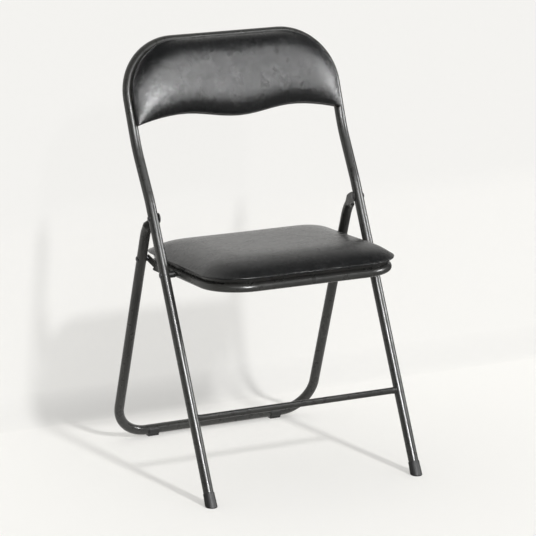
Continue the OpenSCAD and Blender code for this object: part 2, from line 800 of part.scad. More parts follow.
module seat_pan() {
    color(steel_dark) on_seat() difference() {
        translate([0, 0, pan_low]) linear_extrude(pan_t + rim_h) seat_plan(pan_over);
        translate([0, 0, pan_floor]) linear_extrude(rim_h + cut) seat_plan(pan_over - pan_t);
        seat_screw_places() cylinder(h = 2 * pan_floor, r = seat_screw_d / 2);
    }
}

module seat_board() {
    color(board_tone) on_seat() difference() {
        translate([0, 0, pan_floor]) linear_extrude(board_t) seat_plan(pan_over - pan_t - board_gap);
        seat_screw_places() cylinder(h = pan_floor + board_t + cut, r = seat_screw_d / 2);
    }
}

// Outline of the cushion as points, counter-clockwise seen from above
cushion_corner_steps = 9;
cushion_side_steps = 3;
function corner_points(cx, cy, r, start) = [for (i = [0 : cushion_corner_steps])
    let (a = start + 90 * i / cushion_corner_steps) [cx + r * cos(a), cy + r * sin(a)]];
function between(a, b) = [for (i = [1 : cushion_side_steps]) a + (b - a) * i / (cushion_side_steps + 1)];
function cushion_outline(grow) = let (
        half = ring_half + grow,
        fr = ring_front_r + grow,
        rr = ring_rear_r + grow,
        y0 = -ring_front - grow,
        y1 = ring_rear + grow
    ) concat(
        corner_points(-half + fr, y0 + fr, fr, 180), between([-half + fr, y0], [half - fr, y0]),
        corner_points(half - fr, y0 + fr, fr, 270), between([half, y0 + fr], [half, y1 - rr]),
        corner_points(half - rr, y1 - rr, rr, 0), between([half - rr, y1], [-half + rr, y1]),
        corner_points(-half + rr, y1 - rr, rr, 90), between([-half, y1 - rr], [-half, y0 + fr])
    );

module seat_cushion() {
    color(vinyl) on_seat() translate([0, 0, cushion_low])
        crowned(cushion_outline(pan_over + cushion_over), [0, (ring_rear - ring_front) / 2],
            ring_half - ring_front_r, cushion_h, cushion_ring_shares);
}

module seat_screw_places() {
    for (side = [-1, 1]) for (end = [-1, 1])
        translate([side * seat_screw_across / 2, (ring_rear - ring_front + end * seat_screw_along) / 2, 0])
            children();
}

module seat_screws() {
    color(bright_steel) on_seat() seat_screw_places() {
        translate([0, 0, pan_low - seat_screw_head_h])
            cylinder(h = seat_screw_head_h, r = seat_screw_head_d / 2);
        translate([0, 0, pan_low - cut]) cylinder(h = pan_t + board_t / 2 + cut, r = seat_screw_d / 2);
    }
}

// Plate on the outside of the ring that carries the front link pivot
module link_bracket(side) {
    color(steel) on_seat() difference() {
        translate([side * (ring_out + bracket_t / 2), 0, 0]) rotate([90, 0, 90])
            linear_extrude(bracket_t, center = true) difference() {
                polygon([
                    [bracket_start, -ring_r / 2], [bracket_start + bracket_low, -bracket_low],
                    [bracket_end, -bracket_low], [bracket_end, bracket_high], [bracket_start, bracket_high]
                ]);
                translate([bracket_end, -bracket_low / 4]) circle(bracket_high);
            }
        translate([0, link_along, -link_drop])
            cross_rod(side, ring_half, link_out, rivet_r);
    }
}
module left_link_bracket() { link_bracket(-1); }
module right_link_bracket() { link_bracket(1); }

module front_link_rivets() {
    color(bright_steel) on_seat() translate([0, link_along, -link_drop]) for (side = [-1, 1]) {
        cross_rod(side, ring_out, link_out + side_gap, rivet_r);
        cross_head(side, link_out + side_gap, head_r, flat_head_h);
    }
}

// Flat bar from the seat bracket to the rear leg, drawn in its own plane
module side_link(side) {
    color(steel) placed() translate([side * (link_in + link_t / 2), link_c[0], link_c[1]])
        rotate([link_rise, 0, 0]) rotate([90, 0, 90]) linear_extrude(link_t, center = true) difference() {
            union() {
                circle(link_half_w);
                translate([link_len, 0]) circle(link_half_w);
                translate([0, -link_half_w]) square([link_len, 2 * link_half_w]);
            }
            circle(rivet_r + run_gap);
            translate([link_len, 0]) circle(rivet_r + run_gap);
        }
}
module left_link() { side_link(-1); }
module right_link() { side_link(1); }

// Inner end of the rear rivet, which stays with the link
module link_rivet_end(side) {
    color(bright_steel) placed() translate([0, link_rivet_y, link_rivet_h]) {
        cross_rod(side, link_in, link_out, rivet_r);
        cross_head_in(side, link_in, head_r, flat_head_h);
    }
}
module left_link_rivet() { link_rivet_end(-1); }
module right_link_rivet() { link_rivet_end(1); }

front_frame();
front_stretcher();
left_foot_cap();
right_foot_cap();
back_board();
back_pad();
back_lining();
back_screws();
top_rivets();
seat_rivets();
seat_bushes();
rear_frame();
left_floor_glide();
right_floor_glide();
rear_link_rivets();
seat_ring();
seat_pan();
seat_board();
seat_cushion();
seat_screws();
left_link_bracket();
right_link_bracket();
front_link_rivets();
left_link();
right_link();
left_link_rivet();
right_link_rivet();
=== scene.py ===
import json
import math

import bpy
import numpy as np
from mathutils import Matrix, Vector
from mathutils.kdtree import KDTree


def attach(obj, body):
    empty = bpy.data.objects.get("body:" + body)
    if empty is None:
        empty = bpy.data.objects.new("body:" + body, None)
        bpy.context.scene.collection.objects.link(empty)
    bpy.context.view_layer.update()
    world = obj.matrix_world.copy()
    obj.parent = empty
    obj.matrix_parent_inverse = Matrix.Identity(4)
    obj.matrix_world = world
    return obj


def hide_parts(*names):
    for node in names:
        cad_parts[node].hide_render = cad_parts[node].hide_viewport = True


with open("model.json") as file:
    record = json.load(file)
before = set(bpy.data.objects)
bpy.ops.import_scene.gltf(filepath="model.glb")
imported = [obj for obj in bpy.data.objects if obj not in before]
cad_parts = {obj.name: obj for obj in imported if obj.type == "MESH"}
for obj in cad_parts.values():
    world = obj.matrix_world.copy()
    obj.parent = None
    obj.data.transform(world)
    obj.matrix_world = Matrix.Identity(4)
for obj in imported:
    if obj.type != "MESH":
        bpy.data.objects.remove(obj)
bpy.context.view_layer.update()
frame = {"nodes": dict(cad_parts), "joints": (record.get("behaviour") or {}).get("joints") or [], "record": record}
scene = bpy.context.scene
record = frame["record"]
joints = {joint["name"]: joint for joint in frame["joints"]}
footLine = record["mounts"][0]["pos_m"][1]  # where the front feet meet the floor
seatPivot = Vector(joints["seat_fold"]["pos_m"])
print("frame loaded:", len(frame["nodes"]), "nodes")


# The camera stands where the photograph was taken from, far back with a long lens
photoView = {
    "azimuth": -26.06,
    "elevation": 14.22,
    "distance": 5.2407,
    "aimAlong": -0.0880,       # aim point, from the middle between the front feet to the view's right
    "aimHeight": 0.42426,
    "sensor": 36.0,
    "focalPixels": 2891.0,
    "framePixels": 536.0,
}


# Direction towards a place on the sky, in degrees: azimuth from the front to the right, and elevation
# from the floor
def awayFrom(azimuth, elevation):
    azimuth, elevation = math.radians(azimuth), math.radians(elevation)
    flat = math.cos(elevation)
    return Vector((math.sin(azimuth) * flat, -math.cos(azimuth) * flat, math.sin(elevation)))


# Puts a camera or lamp at a place, looking against a direction
def lookBack(thing, place, direction):
    scene.collection.objects.link(thing)
    thing.location = place
    thing.rotation_mode = "QUATERNION"
    thing.rotation_quaternion = (-direction).to_track_quat("-Z", "Y")


def makeCamera(view):
    back = awayFrom(view["azimuth"], view["elevation"])
    right = awayFrom(view["azimuth"] + 90, 0)
    aim = Vector((0, footLine, view["aimHeight"])) + right * view["aimAlong"]
    data = bpy.data.cameras.new("photoCamera")
    data.sensor_width = view["sensor"]
    data.lens = view["sensor"] * view["focalPixels"] / view["framePixels"]
    data.clip_start, data.clip_end = 0.1, 60
    camera = bpy.data.objects.new("photoCamera", data)
    lookBack(camera, aim + back * view["distance"], back)
    scene.camera = camera


makeCamera(photoView)
print("camera placed")


# Light = ((grey / 255 + 0.055) / 1.055) to the power 2.4, or grey / 255 / 12.92 in the darkest tones
def linear(value):
    share = value / 255
    return share / 12.92 if share <= 0.04045 else ((share + 0.055) / 1.055) ** 2.4


def tone(red, green, blue):
    return (linear(red), linear(green), linear(blue), 1)


def dimmed(colour, share):
    return tuple(part * share for part in colour[:3]) + (1,)


# A material's nodes, laid out in rows of twelve as they are added
class Nodes:
    def __init__(self, name):
        self.material = bpy.data.materials.new(name)
        self.material.use_nodes = True
        self.tree = self.material.node_tree
        self.tree.nodes.clear()
        self.count = 0
        self.output = self.add("ShaderNodeOutputMaterial")

    def add(self, kind, inputs=None, **settings):
        node = self.tree.nodes.new(kind)
        node.location = (-220 * (self.count % 12), -260 * (self.count // 12))
        self.count += 1
        for key, value in settings.items():
            setattr(node, key, value)
        for key, value in (inputs or {}).items():
            if isinstance(value, bpy.types.NodeSocket):
                self.tree.links.new(value, node.inputs[key])
            else:
                node.inputs[key].default_value = value
        return node

    def where(self):
        return self.add("ShaderNodeTexCoord").outputs["Object"]

    def noise(self, where, scale, detail=3.0, roughness=0.5):
        node = self.add("ShaderNodeTexNoise", {"Vector": where, "Scale": scale, "Detail": detail,
                                               "Roughness": roughness})
        return node.outputs["Fac"]

    def ramp(self, source, stops):
        node = self.add("ShaderNodeValToRGB", {"Fac": source})
        elements = node.color_ramp.elements
        while len(elements) < len(stops):
            elements.new(0.5)
        for element, (place, colour) in zip(elements, stops):
            element.position = place
            element.color = colour
        return node.outputs["Color"]

    def span(self, source, low, high, toLow, toHigh):
        node = self.add("ShaderNodeMapRange", {"Value": source, "From Min": low, "From Max": high,
                                               "To Min": toLow, "To Max": toHigh})
        return node.outputs["Result"]

    def maths(self, operation, a, b=0.0):
        return self.add("ShaderNodeMath", {0: a, 1: b}, operation=operation).outputs[0]

    # a * share + b * (1 - share)
    def mix(self, a, b, share):
        rest = self.maths("MULTIPLY", b, 1 - share)
        return self.maths("ADD", self.maths("MULTIPLY", a, share), rest)

    def bump(self, height, distance, strength=1.0, under=None):
        inputs = {"Height": height, "Distance": distance, "Strength": strength}
        if under is not None:
            inputs["Normal"] = under
        return self.add("ShaderNodeBump", inputs).outputs["Normal"]

    def finish(self, shader):
        self.tree.links.new(shader.outputs[0], self.output.inputs["Surface"])
        return self.material

    def surface(self, inputs):
        return self.finish(self.add("ShaderNodeBsdfPrincipled", inputs))


# Charcoal enamel, sprayed on tube: a soft sheen with a faint orange peel
enamelLooks = {
    "dark": tone(44, 44, 43),
    "light": tone(56, 56, 54),
    "cloudScale": 14.0,
    "speckScale": 2600.0,
    "specular": 0.36,
    "rough": (0.25, 0.34),
    "peelScale": 900.0,
    "peelDepth": 0.00002,
}


# shade = share of both colours kept: a darker copy of the enamel, as painted shade
def enamel(name, looks, shade=1.0):
    n = Nodes(name)
    where = n.where()
    cloud = n.noise(where, looks["cloudScale"], 4.0)
    speck = n.noise(where, looks["speckScale"], 1.0)
    colour = n.ramp(n.mix(cloud, speck, 0.6),
                    [(0.32, dimmed(looks["dark"], shade)), (0.68, dimmed(looks["light"], shade))])
    rough = n.span(n.noise(where, 60.0), 0.3, 0.7, *looks["rough"])
    normal = n.bump(n.noise(where, looks["peelScale"], 2.0), looks["peelDepth"])
    return n.surface({"Base Color": colour, "Roughness": rough, "Normal": normal,
                      "Specular IOR Level": looks["specular"]})


# Black vinyl with a fine pressed leather grain
vinylLooks = {
    "dark": tone(11, 12, 13),
    "light": tone(19, 20, 21),
    "cellScale": 900.0,        # about 1.1 mm from cell to cell
    "cellDepth": 0.00009,
    "cellDrift": 0.0012,       # how far the cells are shaken out of their places
    "pebbleScale": 290.0,      # soft pebbles of about 3.5 mm under the cells
    "pebbleDepth": 0.00060,
    "fineScale": 2200.0,
    "broadScale": 38.0,
    "rough": (0.23, 0.29),
}


def vinyl(name, looks):
    n = Nodes(name)
    where = n.where()
    drift = n.add("ShaderNodeTexNoise", {"Vector": where, "Scale": 260.0, "Detail": 2.0})
    shaken = n.add("ShaderNodeMixRGB", {"Fac": looks["cellDrift"], "Color1": where,
                                        "Color2": drift.outputs["Color"]}, blend_type="ADD")
    cells = n.add("ShaderNodeTexVoronoi", {"Vector": shaken.outputs[0], "Scale": looks["cellScale"]},
                  feature="DISTANCE_TO_EDGE")
    grain = n.span(cells.outputs["Distance"], 0.0, 0.16, 0.0, 1.0)
    fine = n.noise(where, looks["fineScale"], 2.0)
    broad = n.noise(where, looks["broadScale"])
    pebbles = n.bump(n.noise(where, looks["pebbleScale"], 2.0), looks["pebbleDepth"], 0.6)
    normal = n.bump(n.mix(grain, fine, 0.8), looks["cellDepth"], 1.0, pebbles)
    colour = n.ramp(n.mix(grain, broad, 0.5), [(0.25, looks["dark"]), (0.8, looks["light"])])
    rough = n.span(n.mix(fine, broad, 0.5), 0.35, 0.65, *looks["rough"])
    return n.surface({"Base Color": colour, "Roughness": rough, "Normal": normal,
                      "IOR": 1.5, "Specular IOR Level": 0.5})


# Moulded rubber or plastic: a dull skin with a fine texture and faint dust
rubberLooks = {
    "dark": tone(12, 12, 12),
    "light": tone(25, 25, 24),
    "rough": (0.53, 0.68),
    "grainScale": 1500.0,
    "grainDepth": 0.00003,
}
plasticLooks = {
    "dark": tone(11, 11, 11),
    "light": tone(20, 20, 20),
    "rough": (0.41, 0.56),
    "grainScale": 2000.0,
    "grainDepth": 0.00002,
}


def moulded(name, looks):
    n = Nodes(name)
    where = n.where()
    dust = n.noise(where, 55.0, 5.0, 0.6)
    grain = n.noise(where, looks["grainScale"], 2.0)
    colour = n.ramp(n.mix(dust, grain, 0.75), [(0.35, looks["dark"]), (0.75, looks["light"])])
    rough = n.span(dust, 0.3, 0.7, *looks["rough"])
    normal = n.bump(grain, looks["grainDepth"])
    return n.surface({"Base Color": colour, "Roughness": rough, "Normal": normal})


# Birch plywood: long grain on the faces, thin plies along the edges
plywoodLooks = {
    "dark": tone(120, 92, 62),
    "middle": tone(160, 128, 90),
    "light": tone(188, 158, 118),
    "stretch": (1.2, 22.0, 22.0),
    "grainScale": 9.0,
    "fibreScale": 60.0,
    "fibreDepth": 0.00008,
    "plies": 3800.0,           # radians per metre: two plies in 1.65 mm
    "rough": 0.62,
}


def plywood(name, looks, across):
    n = Nodes(name)
    where = n.where()
    stretched = n.add("ShaderNodeMapping", {"Vector": where, "Scale": looks["stretch"]}).outputs[0]
    grain = n.noise(stretched, looks["grainScale"], 6.0, 0.65)
    fibre = n.noise(stretched, looks["fibreScale"], 3.0, 0.6)
    split = n.add("ShaderNodeSeparateXYZ", {"Vector": where})
    plies = n.maths("SINE", n.maths("MULTIPLY", split.outputs[across], looks["plies"]))
    shaded = n.maths("ADD", n.mix(grain, fibre, 0.7), n.maths("MULTIPLY", plies, 0.03))
    colour = n.ramp(shaded, [(0.3, looks["dark"]), (0.5, looks["middle"]), (0.72, looks["light"])])
    normal = n.bump(fibre, looks["fibreDepth"])
    return n.surface({"Base Color": colour, "Roughness": looks["rough"], "Normal": normal})


# Blackened steel rivets and screws, a little rubbed
steelLooks = {
    "dark": tone(44, 44, 45),
    "rubbed": tone(92, 92, 94),
    "rough": (0.26, 0.44),
    "rubScale": 420.0,
    "rubDepth": 0.00004,
    "metallic": 0.85,
}


def darkSteel(name, looks):
    n = Nodes(name)
    where = n.where()
    rub = n.noise(where, looks["rubScale"], 4.0, 0.6)
    colour = n.ramp(rub, [(0.35, looks["dark"]), (0.7, looks["rubbed"])])
    rough = n.span(n.noise(where, 900.0, 2.0), 0.3, 0.7, *looks["rough"])
    normal = n.bump(rub, looks["rubDepth"])
    return n.surface({"Base Color": colour, "Roughness": rough, "Normal": normal,
                      "Metallic": looks["metallic"]})


tubeEnamel = enamel("tubeEnamel", enamelLooks)
# The sheet parts take the tube enamel darkened to 0.72 of its colour: painted shade
sheetEnamel = enamel("sheetEnamel", enamelLooks, 0.72)
blackVinyl = vinyl("blackVinyl", vinylLooks)
blackRubber = moulded("blackRubber", rubberLooks)
blackPlastic = moulded("blackPlastic", plasticLooks)
seatPlywood = plywood("seatPlywood", plywoodLooks, "Z")
backPlywood = plywood("backPlywood", plywoodLooks, "Y")
blackenedSteel = darkSteel("blackenedSteel", steelLooks)
print("materials made")

slotMaterials = {
    "painted_tube": tubeEnamel,
    "painted_sheet": sheetEnamel,
    "black_vinyl": blackVinyl,
    "black_rubber": blackRubber,
    "black_plastic": blackPlastic,
    "plywood": seatPlywood,
    "dark_steel": blackenedSteel,
}


# A CAD node keeps its mesh and gets its finish in every slot
def dressNode(name, material):
    data = frame["nodes"][name].data
    data.materials.clear()
    data.materials.append(material)


for part in record["subparts"]:
    dressNode(part["node"], slotMaterials[part["material_slot"]])
dressNode("back_board", backPlywood)
print("CAD nodes dressed")


# A finished piece at the origin, with its place in its mesh
def addPiece(name, points, faces, material):
    mesh = bpy.data.meshes.new(name)
    mesh.from_pydata([tuple(p) for p in points], [], [tuple(int(i) for i in f) for f in faces])
    mesh.update()
    mesh.polygons.foreach_set("use_smooth", np.full(len(mesh.polygons), True))
    mesh.materials.append(material)
    piece = bpy.data.objects.new(name, mesh)
    scene.collection.objects.link(piece)
    return piece


# Quads between neighbouring points of a grid, by row and column number
def gridFaces(rows, columns, closedRows=False, closedColumns=True):
    r = np.arange(rows if closedRows else rows - 1)[:, None]
    c = np.arange(columns if closedColumns else columns - 1)[None, :]
    nextR, nextC = (r + 1) % rows, (c + 1) % columns
    here, there = r * columns, nextR * columns
    quads = np.stack([here + c, here + nextC, there + nextC, there + c], axis=-1)
    return quads.reshape(-1, 4)


# Local axes as a matrix: first column across, second along, third up from the surface
def axesFrom(origin, along, up):
    across = along.cross(up)
    turn = Matrix((across, along, up)).transposed().to_4x4()
    return Matrix.Translation(origin) @ turn


# Seat: the domed cushion on its pan. Lengths run from the seat's pivots, in the seat's plane
seatShape = {
    "tilt": 2.3,
    "half": 0.1948,
    "front": 0.1925,
    "rear": 0.1595,
    "frontCorner": 0.080,
    "rearCorner": 0.050,
    "low": 0.0167,             # underside over the middle of the ring
    "spine": 0.035,            # half length of the line that the cushion's rings shrink to
    "points": 280,
    # share of the way out and height of each ring of the rounded lower edge
    "edge": [(0.90, 0.0), (0.95, 0.0001), (0.975, 0.0005), (0.990, 0.0013), (0.998, 0.0025)],
    "widest": 0.0040,
    "crown": 0.0300,
    "fall": 6.2,
    "ease": 1.2,
    "frontLift": 0.45,         # thicker towards the front, share per metre
    "cap": 0.0008,             # most that the cloth's movement comes to
}
seatTilt = math.radians(seatShape["tilt"])
seatAxes = axesFrom(seatPivot, Vector((0, math.cos(seatTilt), -math.sin(seatTilt))),
                    Vector((0, math.sin(seatTilt), math.cos(seatTilt))))

# Back: the pad lies on a board in front of the tube. Lengths run up from the uprights' bend
backShape = {
    "lean": 22.1,
    "bendY": 0.3155,
    "bendZ": 0.6062,
    "length": 0.1989,
    "lowHalf": 0.2157,
    "topHalf": 0.2174,
    "corner": 0.105,
    "boardFront": 0.0148,      # front of the board, before the middle of the tube
    "inset": 0.0045,
    "middleLow": 0.0382,
    "arch": 0.0507,
    "cornerLow": 0.0350,
    "archReach": 0.115,
    "archPower": 1.8,
    "spine": 0.020,
    "points": 320,
    "edge": [(0.90, 0.0), (0.955, 0.0001), (0.978, 0.0007), (0.992, 0.0020), (0.999, 0.0040)],
    "widest": 0.0062,
    "crown": 0.0275,
    "side": 4.4,
    "fall": 3.2,
    "ease": 0.8,
    "frontLift": 0.0,
    "cap": 0.0012,
}
backLean = math.radians(backShape["lean"])
backUp = Vector((0, math.sin(backLean), math.cos(backLean)))
backFront = Vector((0, -math.cos(backLean), math.sin(backLean)))
backBend = Vector((0, footLine + backShape["bendY"], backShape["bendZ"]))
backAxes = axesFrom(backBend, backUp, backFront)


# The same closed line with its points the same distance apart
def evenSteps(path, count):
    closed = np.concatenate([path, path[:1]])
    steps = np.linalg.norm(np.diff(closed, axis=0), axis=1)
    lengths = np.concatenate([[0], np.cumsum(steps)])
    at = np.linspace(0, lengths[-1], count, endpoint=False)
    return np.stack([np.interp(at, lengths, closed[:, k]) for k in range(closed.shape[1])], axis=1)


# Outline of the seat: a rectangle with round corners, counter-clockwise seen from above
def seatPlan(shape):
    half, front, rear = shape["half"], shape["front"], shape["rear"]
    f, r = shape["frontCorner"], shape["rearCorner"]
    angles = np.linspace(0, math.pi / 2, 40)
    corners = [(-half + f, -front + f, f, math.pi), (half - f, -front + f, f, 1.5 * math.pi),
               (half - r, rear - r, r, 0.0), (-half + r, rear - r, r, 0.5 * math.pi)]
    arcs = [np.stack([cx + c * np.cos(angles + start), cy + c * np.sin(angles + start)], axis=1)
            for cx, cy, c, start in corners]
    return evenSteps(np.concatenate(arcs), shape["points"])


# Half width of the back at its lower corners: the uprights' slope carried up to there
def lowerHalf(shape, inset):
    rise = (shape["topHalf"] - shape["lowHalf"]) * shape["cornerLow"] / shape["length"]
    return shape["lowHalf"] + rise - inset


# Lower edge of the back: a bow in the middle and a fall to each corner.
# Bow = mean of its two heights less half their difference times cos(pi * x / reach)
def bowHeight(shape, x, inset):
    reach, arch = shape["archReach"], shape["arch"]
    beyond = np.clip((np.abs(x) - reach) / (lowerHalf(shape, inset) - reach), 0, 1)
    middle, swing = (arch + shape["middleLow"]) / 2, (arch - shape["middleLow"]) / 2
    bow = middle - swing * np.cos(math.pi * x / reach)
    fall = arch - (arch - shape["cornerLow"]) * beyond ** shape["archPower"]
    return np.where(np.abs(x) <= reach, bow, fall) + inset


# Outline of the back: up the line of the tube, round the top corners, and along the lower edge
def backPlan(shape, inset, count):
    x = np.linspace(-lowerHalf(shape, inset), lowerHalf(shape, inset), 240)
    low = np.stack([x, bowHeight(shape, x, inset)], axis=1)
    r = shape["corner"] - inset
    cx, cv = shape["topHalf"] - shape["corner"], shape["length"] - shape["corner"]
    angles = np.linspace(0, math.pi / 2, 60)
    right = np.stack([cx + r * np.cos(angles), cv + r * np.sin(angles)], axis=1)
    left = np.stack([-cx - r * np.sin(angles), cv + r * np.cos(angles)], axis=1)
    return evenSteps(np.concatenate([low, right, left]), count)


# Unit normals of a closed counter-clockwise line in its plane
def outward(path):
    along = np.roll(path, -1, axis=0) - np.roll(path, 1, axis=0)
    normal = np.stack([along[:, 1], -along[:, 0]], axis=1)
    return normal / np.linalg.norm(normal, axis=1, keepdims=True)


# One ring for each pair of a section: the distance out from an outline, and the height
def sectionRings(plan, section):
    normal = outward(plan)
    return [np.column_stack([plan + normal * out, np.full(len(plan), height)])
            for out, height in section]


# Points and faces of stacked rings, closed at both ends with fans round a centre, or round the middle
# of the end ring
def closedForm(rings, centre=None):
    count = len(rings[0])
    ends = np.array([rings[0].mean(axis=0), rings[-1].mean(axis=0)])
    if centre is not None:
        ends[:, :2] = centre
    points = np.concatenate([*rings, ends])
    around = np.arange(count)
    following = (around + 1) % count
    last = (len(rings) - 1) * count
    bottom = np.stack([np.full(count, len(points) - 2), following, around], axis=1)
    top = np.stack([np.full(count, len(points) - 1), last + around, last + following], axis=1)
    return points, [*gridFaces(len(rings), count), *bottom, *top]


# Rings of both cushions, as shares of the way out: under the flat side, and over the dome, where they
# lie closer together towards the edge
underShares = np.linspace(0.1, 0.8, 8)
domeShares = 1 - np.linspace(0, 0.97, 34) ** 1.8


# Cushion over an outline: each ring lies a share of the way from a spine to the outline, and
# height = widest + (crown - widest) * rise(share, place)
def cushionForm(plan, shape, rise):
    middle = (plan[:, 1].max() + plan[:, 1].min()) / 2
    spineX = plan[:, 0] * shape["spine"] / np.abs(plan[:, 0]).max()
    spine = np.stack([spineX, np.full(len(plan), middle)], axis=1)
    rings = []
    for share, height in [(share, 0.0) for share in underShares] + shape["edge"]:
        rings.append(np.column_stack([spine + (plan - spine) * share, np.full(len(plan), height)]))
    for share in domeShares:
        ring = spine + (plan - spine) * share
        height = shape["widest"] + (shape["crown"] - shape["widest"]) * rise(share, ring)
        rings.append(np.column_stack([ring, height * (1 - shape["frontLift"] * ring[:, 1])]))
    return closedForm(rings, (0, middle))


# Rise of the seat = (1 - share to the power fall) to the power ease
def seatRise(share, ring):
    fall, ease = seatShape["fall"], seatShape["ease"]
    return np.full(len(ring), max(1 - share ** fall, 0) ** ease)


# Rise of the back = ((1 - across to the power side) * (1 - along to the power fall)) to the power ease,
# with the shares of the way to the outline across and along the pad
def backRise(share, ring):
    shape = backShape
    x, v = np.abs(ring[:, 0]), ring[:, 1]
    r, inset = shape["corner"] - shape["inset"], shape["inset"]
    cx, cv = shape["topHalf"] - shape["corner"], shape["length"] - shape["corner"]
    low = bowHeight(shape, x, inset)
    high = cv + np.sqrt(np.clip(r * r - np.clip(x - cx, 0, r) ** 2, 0, None))
    side = shape["lowHalf"] - inset + (shape["topHalf"] - shape["lowHalf"]) * v / shape["length"]
    side = np.where(v > cv, cx + np.sqrt(np.clip(r * r - np.clip(v - cv, 0, r) ** 2, 0, None)), side)
    across = np.clip(x / side, 0, 1)
    along = np.clip(np.abs(2 * v - low - high) / np.maximum(high - low, 1e-6), 0, 1)
    filled = (1 - across ** shape["side"]) * (1 - along ** shape["fall"])
    return np.where(share > 0.9999, 0, filled) ** shape["ease"]


# The cushions' covers: cloth over foam, with the underside held down
coverCloth = {
    "voxel": 0.0045,
    "heldHeight": 0.007,
    "quality": 6,
    "mass": 0.4,
    "stiffness": 18.0,
    "bending": 0.6,
    "pressure": 1.2,
    "steps": 20,
    "nearest": 90,             # places on the copy that one point of the form follows
    "fadeHeight": 0.012,
}


def localPoints(mesh):
    flat = np.empty(len(mesh.vertices) * 3, dtype=np.float32)
    mesh.vertices.foreach_get("co", flat)
    return flat.reshape(-1, 3).astype(float)


def setPoints(mesh, points):
    mesh.vertices.foreach_set("co", points.astype(np.float32).ravel())
    mesh.update()


# An even copy of a closed form is blown up a little as cloth. Returns the copy's places at rest, and
# how far each of them moved
def blownCopy(piece, settings):
    copy = piece.copy()
    copy.data = piece.data.copy()
    scene.collection.objects.link(copy)
    bpy.context.view_layer.objects.active = copy
    bpy.ops.object.select_all(action="DESELECT")
    copy.select_set(True)
    remesh = copy.modifiers.new("voxels", "REMESH")
    remesh.mode, remesh.voxel_size = "VOXEL", settings["voxel"]
    bpy.ops.object.modifier_apply(modifier=remesh.name)
    rest = localPoints(copy.data)
    held = np.clip(1 - rest[:, 2] / settings["heldHeight"], 0, 1)
    group = copy.vertex_groups.new(name="held")
    for index in np.nonzero(held > 0.01)[0]:
        group.add([int(index)], float(held[index]), "REPLACE")
    cloth = copy.modifiers.new("cover", "CLOTH")
    cloth.settings.quality = settings["quality"]
    cloth.settings.mass = settings["mass"]
    cloth.settings.tension_stiffness = settings["stiffness"]
    cloth.settings.compression_stiffness = settings["stiffness"]
    cloth.settings.bending_stiffness = settings["bending"]
    cloth.settings.use_pressure = True
    cloth.settings.uniform_pressure_force = settings["pressure"]
    cloth.settings.vertex_group_mass = "held"
    cloth.settings.effector_weights.gravity = 0
    cloth.collision_settings.use_collision = False
    for step in range(1, settings["steps"] + 1):
        scene.frame_set(step)
    blown = copy.evaluated_get(bpy.context.evaluated_depsgraph_get()).data
    move = localPoints(blown) - rest
    scene.frame_set(1)
    bpy.data.objects.remove(copy)
    return rest, move


# Each point of the form takes the mean movement of its nearest places on the blown copy, eased off
# towards a cap: carried = move * cap / (length + cap). The form keeps its size
def swell(piece, settings, cap):
    rest, move = blownCopy(piece, settings)
    tree = KDTree(len(rest))
    for index, point in enumerate(rest):
        tree.insert(point, index)
    tree.balance()
    drawn = localPoints(piece.data)
    nearest = [[hit[1] for hit in tree.find_n(point, settings["nearest"])] for point in drawn]
    carried = np.array([move[places].mean(axis=0) for places in nearest])
    length = np.linalg.norm(carried, axis=1, keepdims=True)
    print(piece.name, "cover moved up to", round(float(length.max()), 5))
    carried *= cap / (length + cap)
    carried *= np.clip(drawn[:, 2:] / settings["fadeHeight"], 0, 1)
    points = drawn + carried
    low, high = points.min(axis=0), points.max(axis=0)
    wantedLow, wantedHigh = drawn.min(axis=0), drawn.max(axis=0)
    setPoints(piece.data, wantedLow + (points - low) * (wantedHigh - wantedLow) / (high - low))


# Cushion of the seat, on the pan
def makeSeatCushion(shape):
    points, faces = cushionForm(seatPlan(shape), shape, seatRise)
    piece = addPiece("seatCushion", points, faces, blackVinyl)
    swell(piece, coverCloth, shape["cap"])
    piece.data.transform(seatAxes @ Matrix.Translation((0, 0, shape["low"])))
    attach(piece, "seat_body")
    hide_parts("seat_cushion")


# Pad of the back, on its board
def makeBackPad(shape):
    points, faces = cushionForm(backPlan(shape, shape["inset"], shape["points"]), shape, backRise)
    piece = addPiece("backPad", points, faces, blackVinyl)
    swell(piece, coverCloth, shape["cap"])
    piece.data.transform(backAxes @ Matrix.Translation((0, 0, shape["boardFront"])))
    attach(piece, "front_body")
    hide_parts("back_pad")


makeSeatCushion(seatShape)
print("seat cushion made")
makeBackPad(backShape)
print("back pad made")

# Pan: floor on the ring, a drawn-in foot, an upright rim and a rolled edge
panShape = {
    "half": 0.1905,
    "front": 0.1825,
    "rear": 0.1545,
    "frontCorner": 0.0785,
    "rearCorner": 0.0665,
    "points": 260,
    # distance out from the pan's outline, height over the middle of the ring
    "section": [(-0.060, 0.0080), (-0.0060, 0.0080), (-0.0041, 0.0082), (-0.0034, 0.0090),
                (-0.0031, 0.0104), (-0.0019, 0.0113), (-0.0004, 0.0118), (0.0002, 0.0126),
                (0.0003, 0.0145), (0.0008, 0.0151), (0.0014, 0.0158), (0.0015, 0.0167),
                (0.0010, 0.0173), (0.0001, 0.0175), (-0.0007, 0.0172), (-0.0011, 0.0164),
                (-0.0012, 0.0150), (-0.0013, 0.0130), (-0.0030, 0.0124), (-0.0043, 0.0113),
                (-0.0047, 0.0101), (-0.0062, 0.0093), (-0.0100, 0.0092), (-0.060, 0.0092)],
}


# The section carried round the pan's outline
def makeSeatPan(shape):
    middle = (0, (shape["rear"] - shape["front"]) / 2)
    points, faces = closedForm(sectionRings(seatPlan(shape), shape["section"]), middle)
    piece = addPiece("seatPan", points, faces, sheetEnamel)
    piece.data.transform(seatAxes)
    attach(piece, "seat_body")
    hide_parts("seat_pan")


makeSeatPan(panShape)
print("seat pan made")

